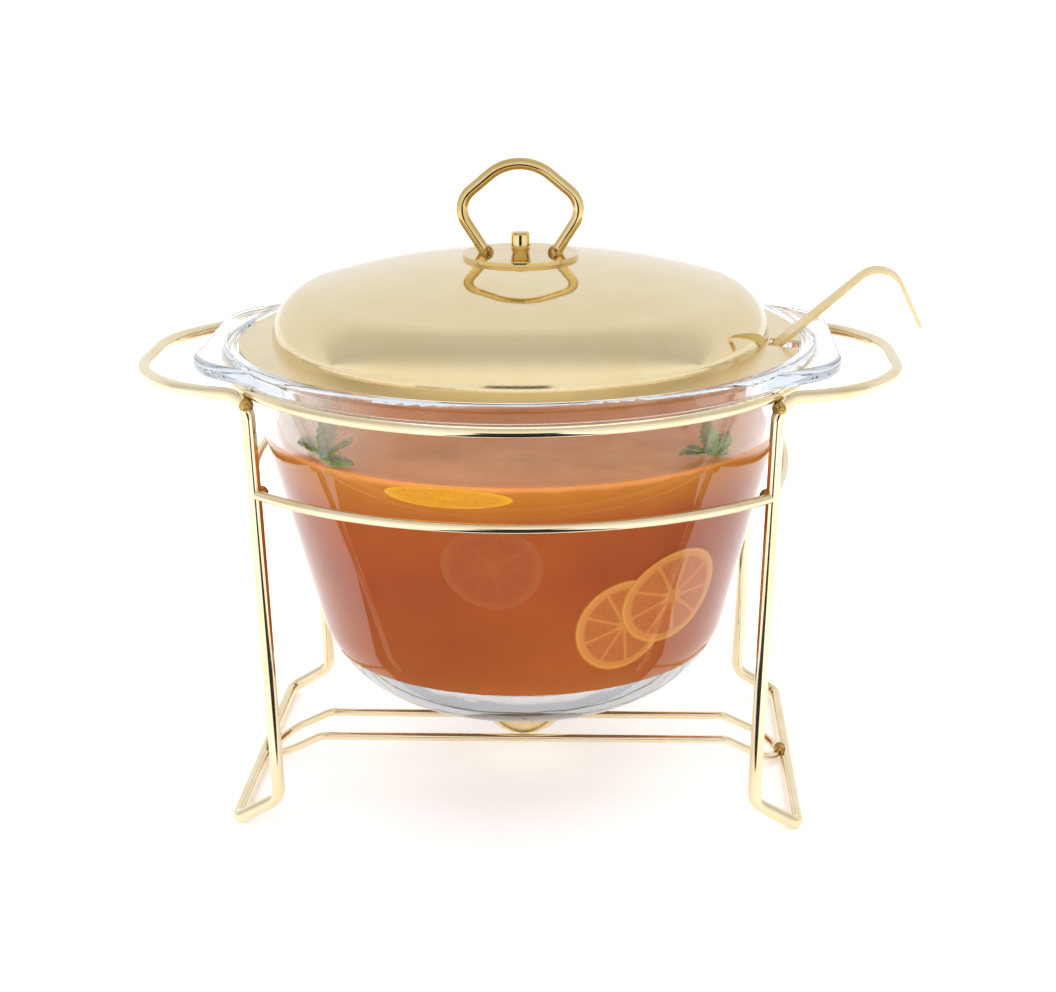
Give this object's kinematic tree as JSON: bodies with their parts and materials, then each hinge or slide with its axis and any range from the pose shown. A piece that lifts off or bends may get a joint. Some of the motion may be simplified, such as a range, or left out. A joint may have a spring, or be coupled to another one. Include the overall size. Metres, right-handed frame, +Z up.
{
  "type": "chafing dish food warmer",
  "caption": "Round glass bowl hung in a bent-wire stand with side handles, a domed metal lid, a ladle through the lid's notch, and a candle burner on a sliding rail.",
  "frame": {"origin": "on the floor under the bowl's axis", "axes": "+Z up; the two handle loops point along X; the ladle leans out towards +X"},
  "size_m": [0.3353, 0.2584, 0.2767],
  "materials": {
    "gold_wire": "polished pale champagne gold plating",
    "weld": "rough gold-plated weld metal",
    "clear_glass": "polished clear glass",
    "gold_sheet": "polished pale champagne gold plated sheet",
    "fastener": "polished plated steel",
    "candle_wax": "satin wax",
    "wick": "charred cotton",
    "tin": "satin sheet"
  },
  "bodies": {
    "stand": {"left_side_frame": "gold_wire", "right_side_frame": "gold_wire", "top_ring": "gold_wire", "lower_front_arc": "gold_wire", "lower_rear_arc": "gold_wire", "lower_left_arc": "gold_wire", "lower_right_arc": "gold_wire", "burner_rail": "gold_wire", "top_ring_welds": "weld", "lower_arc_welds": "weld", "burner_rail_welds": "weld"},
    "bowl": {"glass_bowl": "clear_glass"},
    "lid": {"lid_shell": "gold_sheet", "handle_plate": "gold_sheet", "lid_handle": "gold_wire", "handle_welds": "weld", "cap_nut": "fastener", "lid_stud": "fastener", "lid_washer": "fastener", "lid_nut": "fastener"},
    "ladle": {"ladle_handle": "gold_sheet", "ladle_cup": "gold_sheet", "ladle_rivets": "fastener"},
    "burner": {"burner_dish": "gold_sheet", "candle_wax": "candle_wax", "candle_wick": "wick", "wick_sustainer": "tin"}
  },
  "joints": [
    {"name": "bowl_lift", "type": "slide", "parent": "stand", "child": "bowl", "axis": [0, 0, 1], "range_m": [0, 0.17]},
    {"name": "lid_lift", "type": "slide", "parent": "bowl", "child": "lid", "axis": [0, 0, 1], "range_m": [0, 0.08]},
    {"name": "ladle_slide", "type": "slide", "parent": "bowl", "child": "ladle", "axis": [0.734, -0.1163, 0.6691], "range_m": [0, 0.05]},
    {"name": "burner_slide", "type": "slide", "parent": "stand", "child": "burner", "axis": [1, 0, 0], "range_m": [-0.065, 0.065]}
  ]
}
